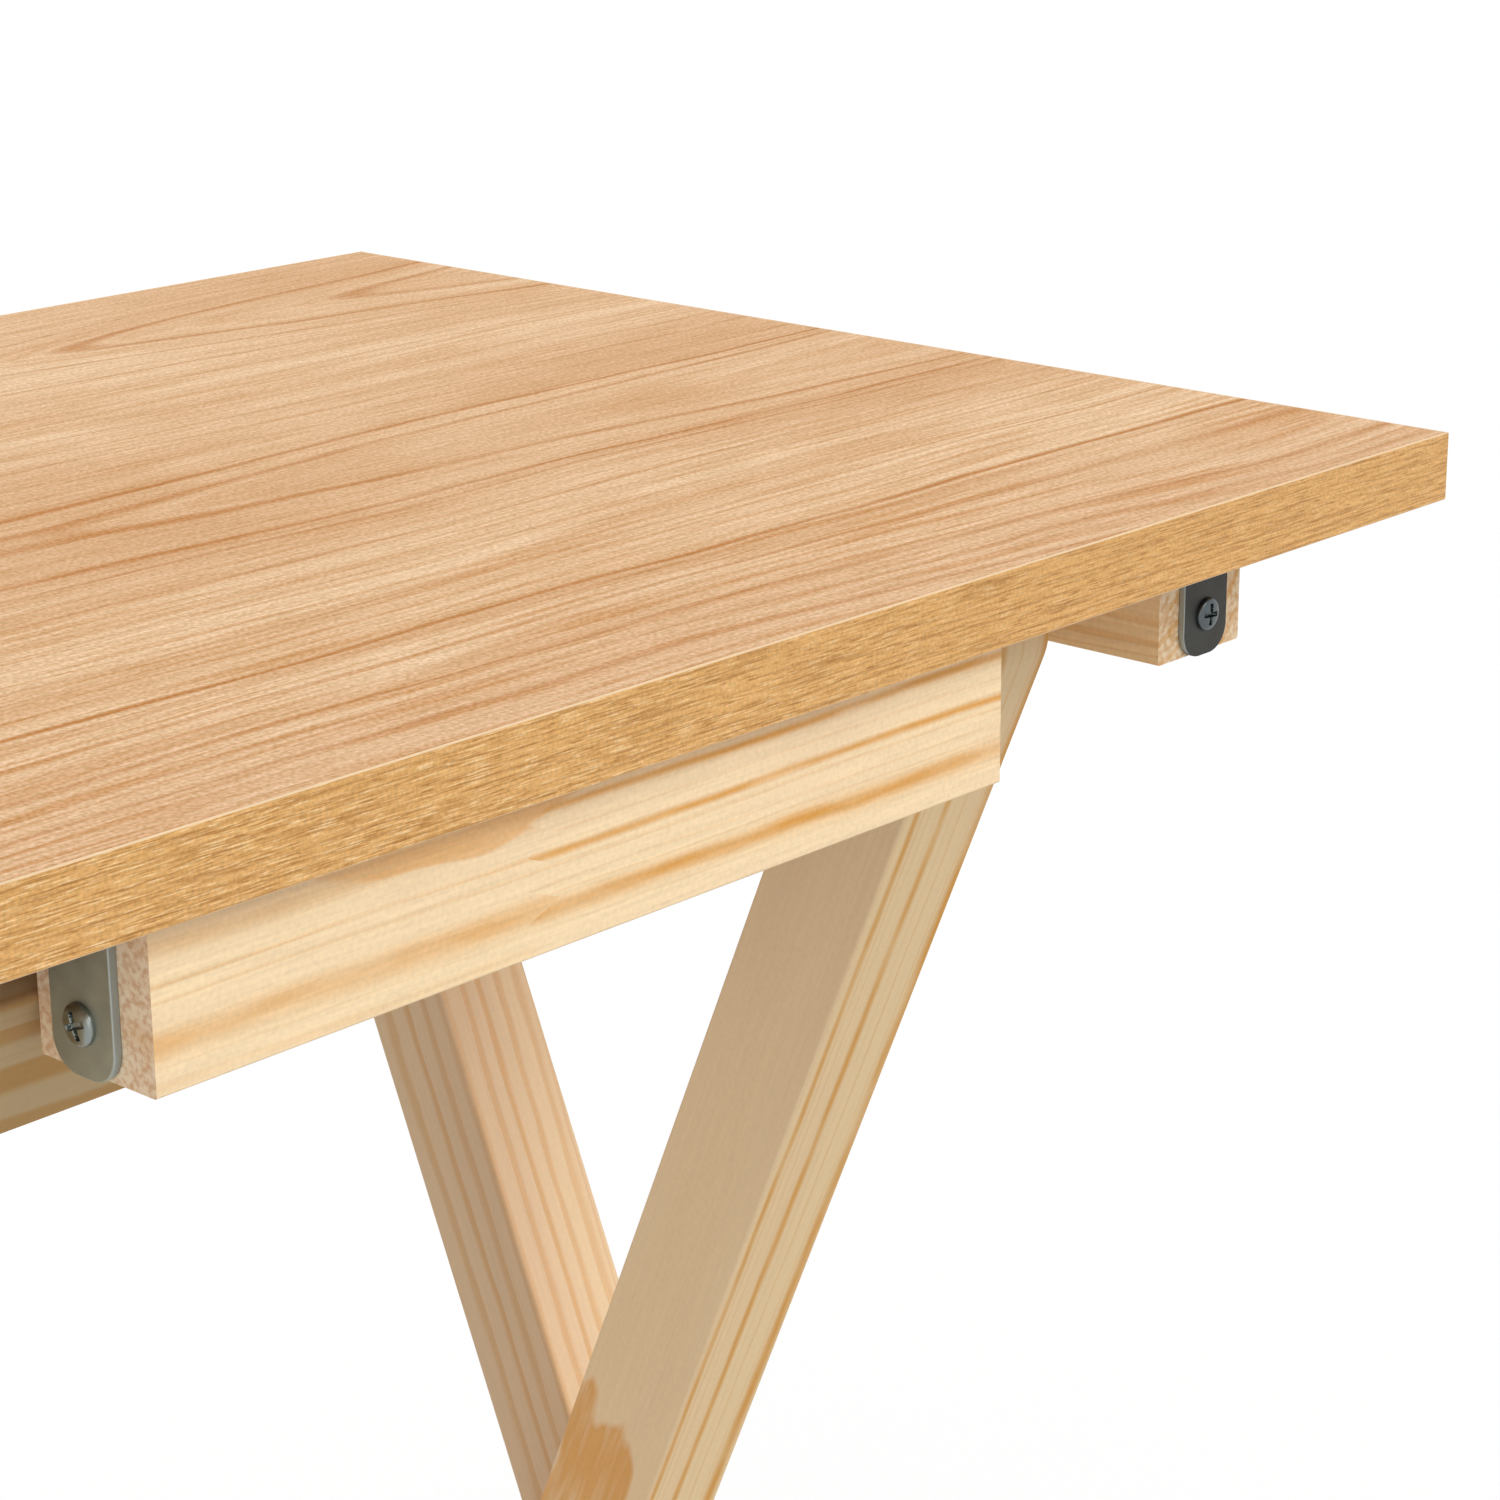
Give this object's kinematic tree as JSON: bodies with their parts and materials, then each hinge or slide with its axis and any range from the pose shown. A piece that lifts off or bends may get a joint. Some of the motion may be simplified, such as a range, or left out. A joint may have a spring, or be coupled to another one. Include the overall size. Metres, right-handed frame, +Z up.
{
  "type": "folding table",
  "caption": "Small folding table: a laminated board on crossed pine leg frames, with bracketed rails and a stop batten; the legs close as the top swings up.",
  "frame": {"origin": "on the floor under the middle of the board", "axes": "+X along the board's long edge, +Y from the edge with the stop batten to the edge where the board hinges, +Z up"},
  "size_m": [0.6, 0.42, 0.75],
  "materials": {
    "oak_print_laminate": "oak-print melamine face on particle board, satin",
    "edge_band_foil": "wood-print edge band, satin",
    "planed_pine": "planed pine with rounded arrises, thin clear varnish",
    "sawn_pine": "planed finger-jointed pine, bare",
    "zinc_plated_steel": "pressed steel, zinc plated",
    "screw_steel": "zinc-plated fasteners"
  },
  "bodies": {
    "outer_frame": {"outer_leg_left": "planed_pine", "outer_leg_right": "planed_pine", "outer_low_slat": "sawn_pine", "slat_screws": "screw_steel", "leg_pivot_bolts": "screw_steel", "leg_pivot_head_washers": "screw_steel", "leg_pivot_spacers": "screw_steel", "leg_pivot_nut_washers": "screw_steel", "leg_pivot_nuts": "screw_steel", "rail_pivot_screws": "screw_steel", "rail_pivot_head_washers": "screw_steel", "rail_pivot_spacers": "screw_steel"},
    "inner_frame": {"inner_leg_left": "planed_pine", "inner_leg_right": "planed_pine", "inner_top_crossbar": "planed_pine", "inner_low_crossbar": "planed_pine", "crossbar_screws": "screw_steel"},
    "top": {"top_board": "oak_print_laminate", "edge_band_near": "edge_band_foil", "edge_band_far": "edge_band_foil", "edge_band_left": "edge_band_foil", "edge_band_right": "edge_band_foil", "stop_batten": "sawn_pine", "rail_left": "sawn_pine", "rail_right": "sawn_pine", "bracket_batten_left": "zinc_plated_steel", "bracket_batten_right": "zinc_plated_steel", "bracket_rail_left_near": "zinc_plated_steel", "bracket_rail_left_far": "zinc_plated_steel", "bracket_rail_right_near": "zinc_plated_steel", "bracket_rail_right_far": "zinc_plated_steel", "bracket_end_screws": "screw_steel", "bracket_board_screws": "screw_steel"}
  },
  "joints": [
    {"name": "top_tilt", "type": "hinge", "parent": "outer_frame", "child": "top", "pos_m": [0, 0.143, 0.7142], "axis": [-1, 0, 0], "range_deg": [0, 111.25]},
    {"name": "leg_fold", "type": "hinge", "parent": "outer_frame", "child": "inner_frame", "pos_m": [0, -0.005, 0.3571], "axis": [-1, 0, 0], "range_deg": [0, 44.5]}
  ],
  "couplings": [
    {"joint": "leg_fold", "follows": "top_tilt", "ratio": 0.4}
  ]
}
